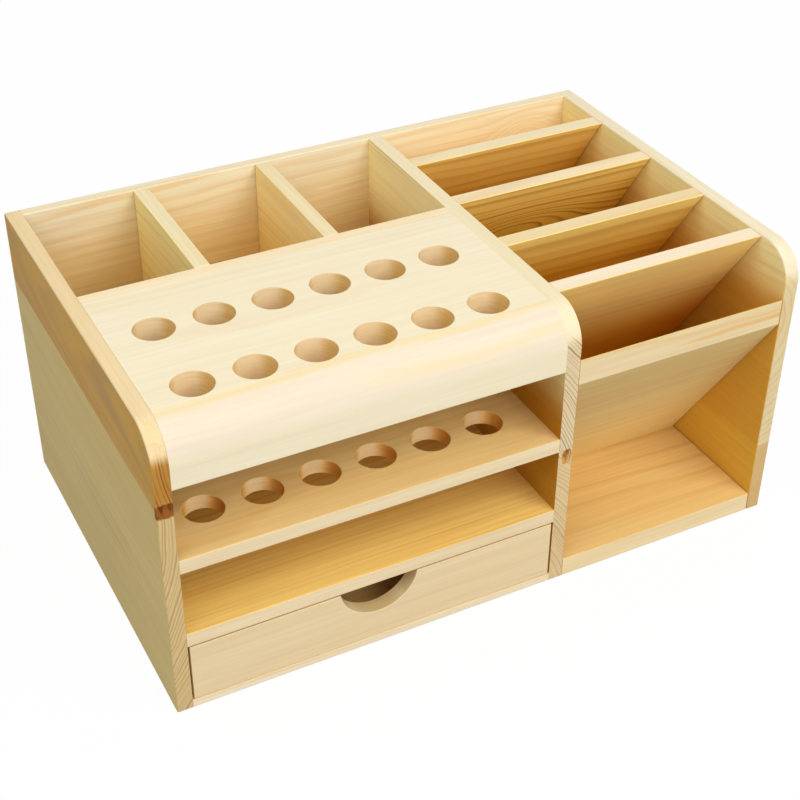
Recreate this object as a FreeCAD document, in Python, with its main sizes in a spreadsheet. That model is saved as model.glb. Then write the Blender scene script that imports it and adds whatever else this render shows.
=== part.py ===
import FreeCAD, Part
import Sketcher
import math
import os
import re

# A pine pen stand: three upright panels and a back panel, a thick board of pen holes over a holed shelf,
# three compartments behind it, a rack of slanted boards over an open bin, and a drawer.
# Lengths are millimetres. Sketches count from the front left corner of the floor that the stand
# rests on: x across the front, y towards the back, z up. The finished stand is centred on its own base.

doc = FreeCAD.newDocument("PenStand")

# Driving sizes
drivingSizes = [
    # the whole stand
    ("overallWidth", 361.5),
    ("overallDepth", 230.0),
    ("overallHeight", 171.0),
    ("boardThick", 8.5),
    ("noseRadius", 19.5),
    ("backCornerRadius", 3.0),
    ("arrisRadius", 1.0),
    ("seamEase", 0.4),
    ("cutOverrun", 5.0),
    # boards that make up each wide panel: the left one is set by its upper board, the others by the lower
    ("leftUpperBoardWidth", 42.0),
    ("middleLowerBoardWidth", 85.0),
    ("rightLowerBoardWidth", 46.5),
    ("backLowerBoardWidth", 92.0),
    # left half: shelves, pen holes and compartments
    ("leftBayWidth", 208.5),
    ("lowerShelfTop", 50.0),
    ("holeShelfTop", 97.0),
    ("holeBoardThick", 32.4),
    ("holeBoardDepth", 120.3),
    ("compartmentWallThick", 7.0),
    ("firstCompartmentWidth", 62.5),
    ("secondCompartmentWidth", 64.5),
    ("holeDiameter", 21.0),
    ("holesPerRow", 6),
    ("firstHoleInset", 24.3),
    ("lastHoleInset", 28.2),
    ("frontRowInset", 31.2),
    ("backRowInset", 37.5),
    ("rowCount", 2),
    ("holeRimBevel", 0.5),
    # right half: slanted boards over the bin
    ("binFloorThick", 12.0),
    ("slantAngle", 32.5),
    ("slopingFrontDrop", 42.2),
    ("firstDividerInset", 22.9),
    ("backSlotWidth", 34.6),
    # drawer
    ("bayFloorThick", 5.0),
    ("drawerSideGap", 1.0),
    ("drawerTopGap", 0.7),
    ("drawerRunGap", 0.3),
    ("drawerBackGap", 3.0),
    ("drawerWallThick", 7.0),
    ("drawerBottomThick", 3.0),
    ("grooveDepth", 3.0),
    ("grooveInset", 4.0),
    ("grooveClearance", 0.1),
    ("fingerCutRadius", 22.0),
    ("fingerCutRise", 3.3),
]

slotDividerCount = 4
nearness = 1e-4    # how close two computed places are when they are the same place

sizes = doc.addObject("Spreadsheet::Sheet", "Sizes")
for row, (name, amount) in enumerate(drivingSizes, start=1):
    sizes.set(f"A{row}", name)
    sizes.set(f"B{row}", str(amount))
    sizes.setAlias(f"B{row}", name)
doc.recompute()

# Places that follow from the driving sizes
places = {
    "innerDepth": "(overallDepth - boardThick)",
    "leftSeamHeight": "(overallHeight - leftUpperBoardWidth)",
    "middlePanelLeft": "(boardThick + leftBayWidth)",
    "rightBayLeft": "(2 * boardThick + leftBayWidth)",
    "rightBayWidth": "(overallWidth - 3 * boardThick - leftBayWidth)",
    "wallBack": "(holeBoardDepth + compartmentWallThick)",
    "compartmentDepth": "(overallDepth - boardThick - holeBoardDepth - compartmentWallThick)",
    "holeBoardLow": "(overallHeight - holeBoardThick)",
    "noseCentreHeight": "(overallHeight - noseRadius)",
    "slantRun": "tan(slantAngle)",
    "slantWidth": "(boardThick / cos(slantAngle))",
    "lastDividerInset": "(overallDepth - boardThick - backSlotWidth - boardThick / cos(slantAngle))",
    "drawerLeft": "(boardThick + drawerSideGap)",
    "drawerWidth": "(leftBayWidth - 2 * drawerSideGap)",
    "drawerLow": "(bayFloorThick + drawerRunGap)",
    "drawerHeight": "(lowerShelfTop - boardThick - drawerTopGap - bayFloorThick - drawerRunGap)",
    "drawerLength": "(overallDepth - boardThick - drawerBackGap)",
    "drawerInsideWidth": "(leftBayWidth - 2 * drawerSideGap - 2 * drawerWallThick)",
}
sizeNames = {name for name, amount in drivingSizes}


def bind(text):
    """Write a sum of size and place names as an expression on the sheet."""
    def one(match):
        word = match.group(0)
        if word in places:
            return bind(places[word])
        return f"Sizes.{word}" if word in sizeNames else word
    return re.sub(r"[A-Za-z]+", one, str(text))


def worth(text):
    """The number that a sum of size and place names comes to now."""
    return float(sizes.evalExpression(bind(text)))


# Shared ways of working
def newBody(name):
    body = doc.addObject("PartDesign::Body", name)
    body.Label = name
    return body


def seat(body, x="0", y="0", z="0"):
    """Put a body in the stand, and centre the stand on its base."""
    body.setExpression("Placement.Base.x", bind(f"{x} - overallWidth / 2"))
    body.setExpression("Placement.Base.y", bind(f"{y} - overallDepth / 2"))
    body.setExpression("Placement.Base.z", bind(z))


def sketchOn(body, role):
    plane = next(part for part in body.Origin.OriginFeatures if part.Role == role)
    sketch = body.newObject("Sketcher::SketchObject", f"{body.Name}_{role[:2]}_sketch")
    sketch.AttachmentSupport = [(plane, "")]
    sketch.MapMode = "FlatFace"
    return sketch


def drive(sketch, constraint, text):
    """Add one sketch dimension and tie it to the sheet."""
    number = sketch.addConstraint(constraint)
    sketch.setExpression(f"Constraints[{number}]", bind(text))


def fixAcross(sketch, shape, point, text):
    """Tie a point's first coordinate to the sheet."""
    if text == "0":
        sketch.addConstraint(Sketcher.Constraint("PointOnObject", shape, point, -2))
    else:
        drive(sketch, Sketcher.Constraint("DistanceX", -1, 1, shape, point, worth(text)), text)


def fixUp(sketch, shape, point, text):
    """Tie a point's second coordinate to the sheet."""
    if text == "0":
        sketch.addConstraint(Sketcher.Constraint("PointOnObject", shape, point, -1))
    else:
        drive(sketch, Sketcher.Constraint("DistanceY", -1, 1, shape, point, worth(text)), text)


def drawOutline(sketch, corners, arcs=None):
    """Draw a closed outline counter-clockwise through corners given as sums of sizes.
    arcs maps a corner's number to the centre and radius of the arc that leaves it."""
    arcs = arcs or {}
    spots = [FreeCAD.Vector(worth(across), worth(up), 0) for across, up in corners]
    for number, spot in enumerate(spots):
        after = spots[(number + 1) % len(spots)]
        if number in arcs:
            across, up, radius = arcs[number]
            centre = FreeCAD.Vector(worth(across), worth(up), 0)
            circle = Part.Circle(centre, FreeCAD.Vector(0, 0, 1), worth(radius))
            turns = [math.atan2(end.y - centre.y, end.x - centre.x) for end in (spot, after)]
            sketch.addGeometry(Part.ArcOfCircle(circle, turns[0], turns[1]))
        else:
            sketch.addGeometry(Part.LineSegment(spot, after))
    for number in range(len(spots)):
        after = (number + 1) % len(spots)
        sketch.addConstraint(Sketcher.Constraint("Coincident", number, 2, after, 1))
    for number, (across, up) in enumerate(corners):
        before = (number - 1) % len(spots)
        arc = arcs.get(number) or arcs.get(before)
        spot = spots[number]
        # an arc's end needs only the coordinate that moves it round the arc
        steep = arc and abs(spot.y - worth(arc[1])) > abs(spot.x - worth(arc[0]))
        if not arc or steep:
            fixAcross(sketch, number, 1, across)
        if not arc or not steep:
            fixUp(sketch, number, 1, up)
    for number, (across, up, radius) in arcs.items():
        fixAcross(sketch, number, 3, across)
        fixUp(sketch, number, 3, up)
        drive(sketch, Sketcher.Constraint("Radius", number, worth(radius)), radius)


def drawCircle(sketch, across, up, radius):
    circle = Part.Circle(FreeCAD.Vector(worth(across), worth(up), 0), FreeCAD.Vector(0, 0, 1), worth(radius))
    number = sketch.addGeometry(circle)
    fixAcross(sketch, number, 3, across)
    fixUp(sketch, number, 3, up)
    drive(sketch, Sketcher.Constraint("Radius", number, worth(radius)), radius)


def pad(body, sketch, length):
    feature = body.newObject("PartDesign::Pad", f"{body.Name}_pad")
    feature.Profile = sketch
    feature.setExpression("Length", bind(length))
    return feature


def takeAway(body, kind, sketch, settle):
    """Add a cutting feature, let settle() set it up, and check that it cut something."""
    doc.recompute()
    volumeBefore = body.Shape.Volume
    feature = body.newObject(f"PartDesign::{kind}", f"{body.Name}_{kind.lower()}")
    feature.Profile = sketch
    settle(feature)
    doc.recompute()
    if body.Shape.Volume > volumeBefore - nearness:
        raise ValueError(f"{body.Label}: a cut took nothing away")
    return feature


def cutThrough(body, sketch):
    """Cut a sketch's outline right through the body, both ways from the sketch."""
    def bothWays(pocket):
        pocket.Type = "ThroughAll"
        pocket.SideType = "Symmetric"
    return takeAway(body, "Pocket", sketch, bothWays)


def liesOn(edge, axis, place):
    """True where the whole edge keeps one coordinate."""
    first, last = edge.ParameterRange
    stations = [edge.valueAt(turn) for turn in (first, (first + last) / 2, last)]
    return all(abs(station[axis] - place) < nearness for station in stations)


def easeEdges(body, radius, wanted):
    """Round the edges of the body's last feature that wanted() picks."""
    doc.recompute()
    base = body.Tip
    names = [f"Edge{number}" for number, edge in enumerate(base.Shape.Edges, start=1) if wanted(edge)]
    feature = body.newObject("PartDesign::Fillet", f"{body.Name}_fillet")
    feature.Base = (base, names)
    feature.setExpression("Radius", bind(radius))


# A plain board: width across, depth to the back, thickness or height up
def plainBoard(name, width, depth, height, x, y, z, eased=()):
    """eased lists the board's own faces, as (axis, place), whose long edges are rounded."""
    body = newBody(name)
    sketch = sketchOn(body, "XY_Plane")
    drawOutline(sketch, [("0", "0"), (width, "0"), (width, depth), ("0", depth)])
    pad(body, sketch, height)
    if eased:
        marks = [(axis, worth(place)) for axis, place in eased]
        for axis, place in marks:
            others = [other for other in (1, 2) if other != axis]
            easeEdges(body, "arrisRadius", lambda edge: liesOn(edge, axis, place)
                      and any(liesOn(edge, other, end) for other in others
                              for end in (0, worth(height if other == 2 else depth))))
    seat(body, x, y, z)
    return body


# Upright panels, each glued up from a lower and an upper board
def easePanel(body, seam, faces):
    """Round the panel's own outline on the faces that show, but not along the glue seam."""
    for place in faces:
        easeEdges(body, "arrisRadius", lambda edge: liesOn(edge, 0, worth(place))
                  and not liesOn(edge, 2, worth(seam)))


def panelLower(name, seam, x, depth, faces):
    body = newBody(name)
    sketch = sketchOn(body, "YZ_Plane")
    drawOutline(sketch, [("0", "0"), (depth, "0"), (depth, seam), ("0", seam)])
    pad(body, sketch, "boardThick")
    easePanel(body, seam, faces)
    seat(body, x)
    return body


def panelUpper(name, seam, x, depth, faces, openBack):
    """openBack marks a panel whose back edge shows, and so has a rounded top corner there."""
    body = newBody(name)
    sketch = sketchOn(body, "YZ_Plane")
    corners = [("0", seam), (depth, seam)]
    arcs = {}
    if openBack:
        arcs[len(corners)] = (f"{depth} - backCornerRadius", "overallHeight - backCornerRadius",
                              "backCornerRadius")
        corners.append((depth, "overallHeight - backCornerRadius"))
        corners.append((f"{depth} - backCornerRadius", "overallHeight"))
    else:
        corners.append((depth, "overallHeight"))
    arcs[len(corners)] = ("noseRadius", "noseCentreHeight", "noseRadius")
    corners += [("noseRadius", "overallHeight"), ("0", "noseCentreHeight")]
    drawOutline(sketch, corners, arcs)
    pad(body, sketch, "boardThick")
    easePanel(body, seam, faces)
    seat(body, x)
    return body


def uprightPanel(side, seam, x, faces, depth="overallDepth", openBack=True):
    return [panelLower(f"{side}_panel_lower", seam, x, depth, faces),
            panelUpper(f"{side}_panel_upper", seam, x, depth, faces, openBack)]


# Back panel, also of two boards, held between the outer panels
def backPanel():
    width = "(overallWidth - 2 * boardThick)"
    lower = plainBoard("back_panel_lower", width, "boardThick", "backLowerBoardWidth",
                       "boardThick", "innerDepth", "0")
    upper = newBody("back_panel_upper")
    sketch = sketchOn(upper, "YZ_Plane")
    top = "(overallHeight - backLowerBoardWidth)"
    corners = [("0", "0"), ("boardThick", "0"), ("boardThick", f"{top} - backCornerRadius"),
               ("boardThick - backCornerRadius", top), ("0", top)]
    arcs = {2: ("boardThick - backCornerRadius", f"{top} - backCornerRadius", "backCornerRadius")}
    drawOutline(sketch, corners, arcs)
    pad(upper, sketch, width)
    easeEdges(upper, "arrisRadius", lambda edge: liesOn(edge, 1, 0) and liesOn(edge, 2, worth(top)))
    seat(upper, "boardThick", "innerDepth", "backLowerBoardWidth")
    return [lower, upper]


# Pen holes: one hole with a bevelled rim, turned about its own axis, then repeated along the
# row and from row to row
def boreHoles(body, low, top):
    sketch = sketchOn(body, "XZ_Plane")
    sketch.setExpression("AttachmentOffset.Base.x", bind("firstHoleInset"))
    sketch.setExpression("AttachmentOffset.Base.z", bind("-frontRowInset"))
    under, over = f"{low} - cutOverrun", f"{top} + cutOverrun"
    radius = "holeDiameter / 2"
    drawOutline(sketch, [("0", under), (radius, under), (radius, f"{top} - holeRimBevel"),
                         (f"{radius} + holeRimBevel + cutOverrun", over), ("0", over)])

    def fullTurn(groove):
        groove.ReferenceAxis = (sketch, ["V_Axis"])
        groove.Angle = 360
    hole = takeAway(body, "Groove", sketch, fullTurn)
    axes = {part.Role: part for part in body.Origin.OriginFeatures}
    grid = body.newObject("PartDesign::LinearPattern", f"{body.Name}_holes")
    grid.Originals = [hole]
    grid.Direction = (axes["X_Axis"], [""])
    grid.Mode = "Extent"
    grid.setExpression("Length", bind("leftBayWidth - firstHoleInset - lastHoleInset"))
    grid.setExpression("Occurrences", bind("holesPerRow"))
    grid.Direction2 = (axes["Y_Axis"], [""])
    grid.Mode2 = "Extent"
    grid.setExpression("Length2", bind("holeBoardDepth - frontRowInset - backRowInset"))
    grid.setExpression("Occurrences2", bind("rowCount"))
    body.Tip = grid


def holeBoard():
    """The thick top board: its front edge carries the nose, and its holes run right through."""
    body = newBody("hole_board")
    sketch = sketchOn(body, "YZ_Plane")
    corners = [("0", "holeBoardLow"), ("holeBoardDepth", "holeBoardLow"), ("holeBoardDepth", "overallHeight"),
               ("noseRadius", "overallHeight"), ("0", "noseCentreHeight")]
    drawOutline(sketch, corners, {3: ("noseRadius", "noseCentreHeight", "noseRadius")})
    pad(body, sketch, "leftBayWidth")
    easeEdges(body, "arrisRadius", lambda edge: liesOn(edge, 1, 0) and liesOn(edge, 2, worth("holeBoardLow")))
    boreHoles(body, "holeBoardLow", "overallHeight")
    seat(body, "boardThick")
    return body


def holeShelf():
    body = plainBoard("hole_shelf", "leftBayWidth", "holeBoardDepth", "boardThick",
                      "boardThick", "0", "holeShelfTop - boardThick", [(1, "0")])
    boreHoles(body, "0", "boardThick")
    return body


# Compartments behind the pen holes, standing on the lower shelf
def compartments():
    height = "(overallHeight - lowerShelfTop)"
    wall = plainBoard("compartment_wall", "leftBayWidth", "compartmentWallThick", height,
                      "boardThick", "holeBoardDepth", "lowerShelfTop")
    easeEdges(wall, "seamEase", lambda edge: liesOn(edge, 2, worth(height))
              and liesOn(edge, 1, worth("compartmentWallThick")))
    inset = "boardThick + firstCompartmentWidth"
    dividers = []
    for side in ("left", "right"):
        divider = plainBoard(f"compartment_divider_{side}", "boardThick", "compartmentDepth", height,
                             inset, "wallBack", "lowerShelfTop")
        for face in ("0", "boardThick"):
            easeEdges(divider, "arrisRadius", lambda edge: liesOn(edge, 0, worth(face))
                      and liesOn(edge, 2, worth(height)))
        dividers.append(divider)
        inset = f"{inset} + boardThick + secondCompartmentWidth"
    return [wall] + dividers


# Slanted boards: one slab that leans back going down, trimmed to the room between floor and back
def slantedBoard(name, topInset):
    body = newBody(name)
    sketch = sketchOn(body, "YZ_Plane")
    foot = f"({topInset} + overallHeight * slantRun)"
    drawOutline(sketch, [(foot, "0"), (f"{foot} + slantWidth", "0"),
                         (f"{topInset} + slantWidth", "overallHeight"), (topInset, "overallHeight")])
    pad(body, sketch, "rightBayWidth")
    room = sketchOn(body, "YZ_Plane")
    top = "overallHeight + cutOverrun"
    behind = "innerDepth + overallHeight"
    drawOutline(room, [("-overallDepth", "-cutOverrun"), (behind, "-cutOverrun"), (behind, top),
                       ("innerDepth", top), ("innerDepth", "binFloorThick"), ("0", "binFloorThick"),
                       ("0", top), ("-overallDepth", top)])
    cutThrough(body, room)
    seat(body, "rightBayLeft")
    return body


def slantedRack():
    front = slantedBoard("sloping_front_board", "-slopingFrontDrop * slantRun")
    easeEdges(front, "seamEase", lambda edge: liesOn(edge, 1, 0)
              and not (liesOn(edge, 0, 0) or liesOn(edge, 0, worth("rightBayWidth"))))
    dividers = []
    step = f"(lastDividerInset - firstDividerInset) / {slotDividerCount - 1}"
    for number in range(slotDividerCount):
        divider = slantedBoard(f"slot_divider_{number + 1}", f"(firstDividerInset + {number} * {step})")
        easeEdges(divider, "arrisRadius", lambda edge: liesOn(edge, 2, worth("overallHeight"))
                  and not (liesOn(edge, 0, 0) or liesOn(edge, 0, worth("rightBayWidth"))))
        dividers.append(divider)
    return [front] + dividers


# Drawer: the front laps the sides, and a thin bottom slides in grooves from behind
def groove(body, x, y, width, depth):
    """A groove for the drawer bottom, level all along, with its own clearance above."""
    sketch = sketchOn(body, "XY_Plane")
    sketch.setExpression("AttachmentOffset.Base.z", bind("grooveInset"))
    drawOutline(sketch, [(x, y), (f"{x} + {width}", y), (f"{x} + {width}", f"{y} + {depth}"),
                         (x, f"{y} + {depth}")])

    def upwards(pocket):
        pocket.Reversed = True
        pocket.setExpression("Length", bind("drawerBottomThick + grooveClearance"))
    takeAway(body, "Pocket", sketch, upwards)


def drawerFront():
    body = plainBoard("drawer_front", "drawerWidth", "boardThick", "drawerHeight",
                      "drawerLeft", "0", "drawerLow")
    sketch = sketchOn(body, "XZ_Plane")
    drawCircle(sketch, "drawerWidth / 2", "drawerHeight + fingerCutRise", "fingerCutRadius")
    cutThrough(body, sketch)
    groove(body, "drawerWallThick - grooveDepth", "boardThick - grooveDepth",
           "(drawerInsideWidth + 2 * grooveDepth)", "(grooveDepth + cutOverrun)")
    easeEdges(body, "arrisRadius", lambda edge: liesOn(edge, 1, 0))
    return body


def drawerSide(name, x, grooveFrom):
    body = plainBoard(name, "drawerWallThick", "drawerLength - boardThick", "drawerHeight",
                      x, "boardThick", "drawerLow")
    groove(body, grooveFrom, "-cutOverrun", "(grooveDepth + cutOverrun)",
           "(drawerLength - boardThick + 2 * cutOverrun)")
    for face in ("0", "drawerWallThick"):
        easeEdges(body, "seamEase", lambda edge: liesOn(edge, 0, worth(face))
                  and liesOn(edge, 2, worth("drawerHeight")))
    return body


def drawer():
    left = drawerSide("drawer_left_side", "drawerLeft", "drawerWallThick - grooveDepth")
    right = drawerSide("drawer_right_side", "drawerLeft + drawerWidth - drawerWallThick", "-cutOverrun")
    back = plainBoard("drawer_back", "drawerInsideWidth", "drawerWallThick",
                      "drawerHeight - grooveInset - drawerBottomThick",
                      "drawerLeft + drawerWallThick", "drawerLength - drawerWallThick",
                      "drawerLow + grooveInset + drawerBottomThick")
    bottom = plainBoard("drawer_bottom", "drawerInsideWidth + 2 * grooveDepth - 2 * grooveClearance",
                        "drawerLength - boardThick + grooveDepth - grooveClearance", "drawerBottomThick",
                        "drawerLeft + drawerWallThick - grooveDepth + grooveClearance",
                        "boardThick - grooveDepth + grooveClearance", "drawerLow + grooveInset")
    return [drawerFront(), left, right, back, bottom]


# The stand
pieces = []
pieces += uprightPanel("left", "leftSeamHeight", "0", ["0"])
pieces += uprightPanel("middle", "middleLowerBoardWidth", "middlePanelLeft",
                       ["boardThick"], "innerDepth", openBack=False)
pieces += uprightPanel("right", "rightLowerBoardWidth", "overallWidth - boardThick",
                       ["boardThick", "0"])
pieces += backPanel()
pieces += [holeBoard(), holeShelf()]
pieces.append(plainBoard("lower_shelf", "leftBayWidth", "innerDepth", "boardThick",
                         "boardThick", "0", "lowerShelfTop - boardThick", [(1, "0")]))
pieces += compartments()
pieces.append(plainBoard("drawer_bay_floor", "leftBayWidth", "innerDepth", "bayFloorThick",
                         "boardThick", "0", "0", [(1, "0")]))
pieces.append(plainBoard("bin_floor", "rightBayWidth", "innerDepth", "binFloorThick",
                         "rightBayLeft", "0", "0", [(1, "0")]))
pieces += slantedRack()
pieces += drawer()

doc.recompute()
for thing in doc.Objects:
    if "Invalid" in thing.State or "Error" in thing.State:
        raise ValueError(f"{thing.Label} is {thing.State}")
for piece in pieces:
    if piece.Shape.isNull() or not piece.Shape.isValid() or len(piece.Shape.Solids) != 1:
        raise ValueError(f"{piece.Label} isn't one valid solid")

os.makedirs("parts", exist_ok=True)
for piece in pieces:
    piece.Shape.exportStep(f"parts/{piece.Label}.step")
print(len(pieces), "pieces written")
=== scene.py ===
import math

import bpy
import numpy as np
from mathutils import Matrix, Vector
from mathutils.geometry import delaunay_2d_cdt


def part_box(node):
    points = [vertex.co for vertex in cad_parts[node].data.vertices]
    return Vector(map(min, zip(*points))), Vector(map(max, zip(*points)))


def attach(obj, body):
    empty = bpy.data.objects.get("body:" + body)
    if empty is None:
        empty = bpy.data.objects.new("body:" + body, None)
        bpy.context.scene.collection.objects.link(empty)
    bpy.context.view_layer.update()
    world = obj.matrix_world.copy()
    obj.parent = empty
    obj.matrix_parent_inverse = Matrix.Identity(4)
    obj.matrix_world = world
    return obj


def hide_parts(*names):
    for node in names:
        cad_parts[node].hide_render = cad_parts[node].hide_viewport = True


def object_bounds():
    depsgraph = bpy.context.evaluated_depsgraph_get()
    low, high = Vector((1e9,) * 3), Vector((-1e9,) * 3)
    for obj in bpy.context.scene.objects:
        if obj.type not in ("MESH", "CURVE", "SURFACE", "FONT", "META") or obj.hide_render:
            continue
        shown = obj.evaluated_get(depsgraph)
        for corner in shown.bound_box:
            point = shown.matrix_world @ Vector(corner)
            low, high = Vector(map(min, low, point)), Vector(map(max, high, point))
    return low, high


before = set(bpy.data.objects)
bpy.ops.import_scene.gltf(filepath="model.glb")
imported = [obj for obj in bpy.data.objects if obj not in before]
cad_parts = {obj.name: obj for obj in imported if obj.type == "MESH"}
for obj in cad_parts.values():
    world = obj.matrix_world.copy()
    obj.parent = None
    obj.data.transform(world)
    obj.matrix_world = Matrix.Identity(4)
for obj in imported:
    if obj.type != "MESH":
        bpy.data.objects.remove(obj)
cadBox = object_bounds()
mm = 0.001

# Surfaces
# An outline is an array with one row for each point, anticlockwise: place (2), outward normal (2),
# the way that the point moves when the board's face edge is rounded (2), and that edge's radius.


def bend(corner, normalIn, normalOut, radius, softIn, softOut, steps):
    # A corner: its point is centre + radius * normal, while the normal turns from one side's to the next's.
    # The centre lies back from the corner by radius * (the normals' sum) / (1 + their dot product).
    corner, normalIn, normalOut = (np.asarray(v, float) for v in (corner, normalIn, normalOut))
    start = math.atan2(normalIn[1], normalIn[0])
    turn = math.atan2(normalIn[0] * normalOut[1] - normalIn[1] * normalOut[0], normalIn @ normalOut)
    middle = (normalIn + normalOut) / (1 + normalIn @ normalOut)
    angles = start + turn * np.linspace(0, 1, steps + 1)
    normals = np.stack([np.cos(angles), np.sin(angles)], axis=1)
    points = corner - middle * radius + normals * radius
    soft = np.linspace(softIn, softOut, steps + 1)[:, None]
    if radius >= max(softIn, softOut):
        insets = -normals * soft
    else:
        # the corner is tighter than its face edge, so both sides' insets meet in one point
        inset = np.linalg.solve([normalIn, normalOut], [-softIn, -softOut])
        insets = np.repeat(inset[None], steps + 1, axis=0)
    return np.hstack([points, normals, insets, soft])


def arcRun(centre, radius, first, last, soft, steps):
    # part of a circle: centre + radius * (cos, sin), hollow where the angle runs clockwise
    angles = np.linspace(first, last, steps + 1)
    ways = np.stack([np.cos(angles), np.sin(angles)], axis=1)
    normals = ways if last > first else -ways
    points = np.asarray(centre) + radius * ways
    return np.hstack([points, normals, -normals * soft, np.full((steps + 1, 1), soft)])


def cornerSteps(radius):
    # large corners get more short lines than small ones
    if radius > 5 * mm:
        return 24
    return 8 if radius > 2 * mm else 5


def polygonOutline(corners):
    # corners are (across, up, radius, soft): soft is the face edge's radius along the side that leaves it
    places = np.array([corner[:2] for corner in corners], float)
    along = np.roll(places, -1, axis=0) - places
    along /= np.linalg.norm(along, axis=1)[:, None]
    normals = np.stack([along[:, 1], -along[:, 0]], axis=1)
    return np.vstack([
        bend((across, up), normals[number - 1], normals[number], radius, corners[number - 1][3], soft,
             cornerSteps(radius))
        for number, (across, up, radius, soft) in enumerate(corners)])


faceSteps = 4      # short lines in the quarter round of a face edge


def sweepBoard(outline, plane, low, high, lowSoft=1.0, highSoft=1.0):
    # the outline carried straight from low to high; at both ends the face edge is a quarter round:
    # a point moves in by inset * (1 - cos t) and along by radius * (1 - sin t), and its normal tips by t
    points, normals, insets, soft = outline[:, :2], outline[:, 2:4], outline[:, 4:6], outline[:, 6]
    tips = np.linspace(0, np.pi / 2, faceSteps + 1)
    rings, ringNormals = [], []
    for end, share, side, sweep in ((low, lowSoft, -1, tips[::-1]), (high, highSoft, 1, tips)):
        for tip in sweep:
            level = end - side * soft * share * (1 - math.sin(tip))
            rings.append(np.column_stack([points + insets * share * (1 - math.cos(tip)), level]))
            ringNormals.append(np.column_stack([normals * math.cos(tip),
                                                np.full(len(points), side * math.sin(tip))]))
    count, ringCount = len(points), len(rings)
    axes = [plane.index(axis) for axis in "xyz"]
    ring, spot = np.meshgrid(np.arange(ringCount - 1), np.arange(count), indexing="ij")
    after = (spot + 1) % count
    quads = np.stack([ring * count + spot, ring * count + after,
                      (ring + 1) * count + after, (ring + 1) * count + spot], axis=-1)
    caps = [list(range(count))[::-1], list(range((ringCount - 1) * count, ringCount * count))]
    return {"verts": np.concatenate(rings)[:, axes], "normals": np.concatenate(ringNormals)[:, axes],
            "quads": quads.reshape(-1, 4), "caps": caps, "firstFlat": faceSteps * count}


def holeTubes(holes, low, high):
    # Each hole is a tube turned about its axis: flat rim, quarter round, wall, quarter round, flat rim.
    # A quarter round's points reach radius + rim * (1 - sin t), at rim * (1 - cos t) from the flat side.
    turn = np.linspace(0, 2 * np.pi, holes["facets"], endpoint=False)
    tips = np.linspace(0, np.pi / 2, holes["rimSteps"] + 1)
    back = tips[::-1]
    radius, topRim, lowRim = holes["radius"], holes["topRim"], holes["lowRim"]
    reach = np.concatenate([radius + topRim * (1 - np.sin(tips)), radius + lowRim * (1 - np.sin(back))])
    level = np.concatenate([high - topRim * (1 - np.cos(tips)), low + lowRim * (1 - np.cos(back))])
    inward = np.concatenate([np.sin(tips), np.sin(back)])[None, :, None]
    upward = np.concatenate([np.cos(tips), -np.cos(back)])[None, :, None]
    centres = np.array([(x, y) for y in holes["rows"] for x in holes["places"]])
    shape = (len(centres), len(reach), holes["facets"])
    verts = np.stack([centres[:, 0, None, None] + reach[None, :, None] * np.cos(turn),
                      centres[:, 1, None, None] + reach[None, :, None] * np.sin(turn),
                      np.broadcast_to(level[None, :, None], shape)], axis=-1)
    normals = np.stack([np.broadcast_to(-inward * np.cos(turn), shape),
                        np.broadcast_to(-inward * np.sin(turn), shape),
                        np.broadcast_to(upward, shape)], axis=-1)
    return centres, reach, verts, normals


def fillRound(verts, edge, rims, centres, rimRadius):
    # triangles over a flat side, between its edge and the rims of the holes
    loops = [edge] + list(rims)
    used = np.concatenate(loops)
    starts = np.cumsum([0] + [len(loop) for loop in loops[:-1]])
    edges = [(int(start + k), int(start + (k + 1) % len(loop)))
             for start, loop in zip(starts, loops) for k in range(len(loop))]
    places = verts[used][:, :2] / mm
    samePoint = 1e-6        # millimetres
    found = delaunay_2d_cdt([Vector(place) for place in places], edges, [], 1, samePoint)
    source = [sources[0] for sources in found[3]]
    triangles = np.array([[source[k] for k in face] for face in found[2]])
    middles = places[triangles].mean(axis=1)
    away = np.linalg.norm(middles[:, None] - centres[None] / mm, axis=2).min(axis=1)
    justInside = 0.998      # a rim's share: the middles of what would close a hole lie within it
    return used[triangles[away > rimRadius * justInside / mm]]


def boreHoles(board, holes, low, high, topSide, lowSide):
    # topSide and lowSide are the outline's points where the flat sides that the holes open through begin
    centres, reach, tubes, tubeNormals = holeTubes(holes, low, high)
    number = len(board["verts"]) + np.arange(tubes[..., 0].size).reshape(tubes.shape[:3])
    after = np.roll(number, -1, axis=2)
    walls = np.stack([number[:, :-1], after[:, :-1], after[:, 1:], number[:, 1:]], axis=-1)
    verts = np.vstack([board["verts"], tubes.reshape(-1, 3)])
    flatTop, flatUnder = board["firstFlat"] + topSide, board["firstFlat"] + lowSide
    keep = np.ones(len(board["quads"]), bool)
    keep[[flatTop, flatUnder]] = False
    top = fillRound(verts, board["quads"][flatTop], number[:, 0], centres, reach[0])
    under = fillRound(verts, board["quads"][flatUnder], number[:, -1], centres, reach[-1])
    return {**board, "verts": verts, "normals": np.vstack([board["normals"], tubeNormals.reshape(-1, 3)]),
            "quads": np.vstack([board["quads"][keep], walls.reshape(-1, 4)]),
            "triangles": np.vstack([top, under[:, ::-1]])}


def makePiece(node, surface, wood):
    # a mesh with the surface's own normals, which stands for its node
    name = node + "_board"
    mesh = bpy.data.meshes.new(name)
    faces = surface["quads"].tolist() + surface["caps"]
    if "triangles" in surface:
        faces += surface["triangles"].tolist()
    mesh.from_pydata(surface["verts"].tolist(), [], faces)
    mesh.shade_smooth()
    mesh.normals_split_custom_set_from_vertices(surface["normals"].tolist())
    mesh.materials.append(pineWood(node, wood))
    piece = bpy.data.objects.new(name, mesh)
    bpy.context.scene.collection.objects.link(piece)
    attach(piece, "drawer" if node.startswith("drawer_") and node != "drawer_bay_floor" else "stand")
    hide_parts(node)


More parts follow.
